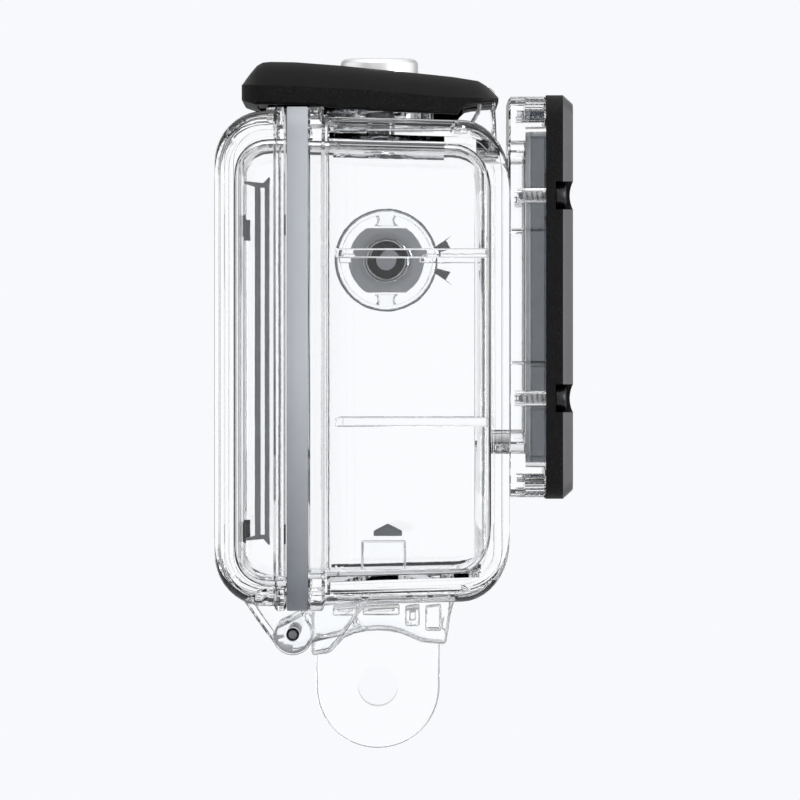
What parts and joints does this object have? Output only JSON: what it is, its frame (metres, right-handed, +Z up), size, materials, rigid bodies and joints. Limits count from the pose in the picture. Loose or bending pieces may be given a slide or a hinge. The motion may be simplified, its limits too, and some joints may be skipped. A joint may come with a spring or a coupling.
{
  "type": "camera housing",
  "caption": "Clear waterproof housing for an action camera, with hinged sealed rear door, top latch, lens port, push buttons and a two-finger mount.",
  "frame": {"origin": "centre of the cross bore through the two mount fingers", "axes": "+X towards the side button, -Y towards the lens, +Z up"},
  "size_m": [0.0839, 0.0443, 0.0857],
  "materials": {
    "clear_shell": "clear moulded polycarbonate",
    "port_glass": "polished optical glass, grey seen edge-on",
    "silicone": "frosted translucent silicone",
    "grey_rubber": "matte grey rubber",
    "black_rubber": "matte black rubber",
    "black_plastic": "satin top, fine spark-eroded grain on the sides",
    "dark_bushing": "smooth dark grey",
    "silver": "turned and polished aluminium",
    "steel": "stainless steel",
    "black_screw": "black oxide steel"
  },
  "bodies": {
    "housing": {"main_housing": "clear_shell", "lens_port": "clear_shell", "mount_foot": "clear_shell", "port_glass": "port_glass", "port_gasket": "silicone", "lens_frame": "black_plastic", "frame_screws": "black_screw", "floor_pad": "grey_rubber", "hinge_pin": "steel", "latch_pin": "steel", "shutter_bushing": "dark_bushing", "side_bushing": "dark_bushing", "side_guide": "clear_shell"},
    "door": {"rear_door": "clear_shell", "door_seal": "silicone", "door_cushion": "grey_rubber", "upper_pad": "grey_rubber", "lower_pad": "black_rubber"},
    "latch": {"latch_lever": "black_plastic", "latch_hook": "black_plastic"},
    "shutter": {"shutter_cap": "silver", "shutter_stem": "steel", "shutter_ring": "black_rubber", "shutter_clip": "steel", "shutter_spring": "steel"},
    "side_button": {"side_cap": "silver", "side_stem": "steel", "side_pusher": "black_rubber", "side_ring": "black_rubber", "side_clip": "steel", "side_spring": "steel"}
  },
  "joints": [
    {"name": "door_hinge", "type": "hinge", "parent": "housing", "child": "door", "pos_m": [0, 0.01046, 0.0068], "axis": [-1, 0, 0], "range_deg": [0, 120]},
    {"name": "latch_pivot", "type": "hinge", "parent": "housing", "child": "latch", "pos_m": [0, -0.0135, 0.0733], "axis": [1, 0, 0], "range_deg": [0, 95]},
    {"name": "shutter_press", "type": "slide", "parent": "housing", "child": "shutter", "axis": [0, 0, -1], "range_m": [0, 0.0015], "stiffness_N_per_m": 400, "springref_m": -0.001, "deforming": ["shutter_spring"]},
    {"name": "side_press", "type": "slide", "parent": "housing", "child": "side_button", "axis": [-1, 0, 0], "range_m": [0, 0.0015], "stiffness_N_per_m": 400, "springref_m": -0.001, "deforming": ["side_spring"]}
  ]
}
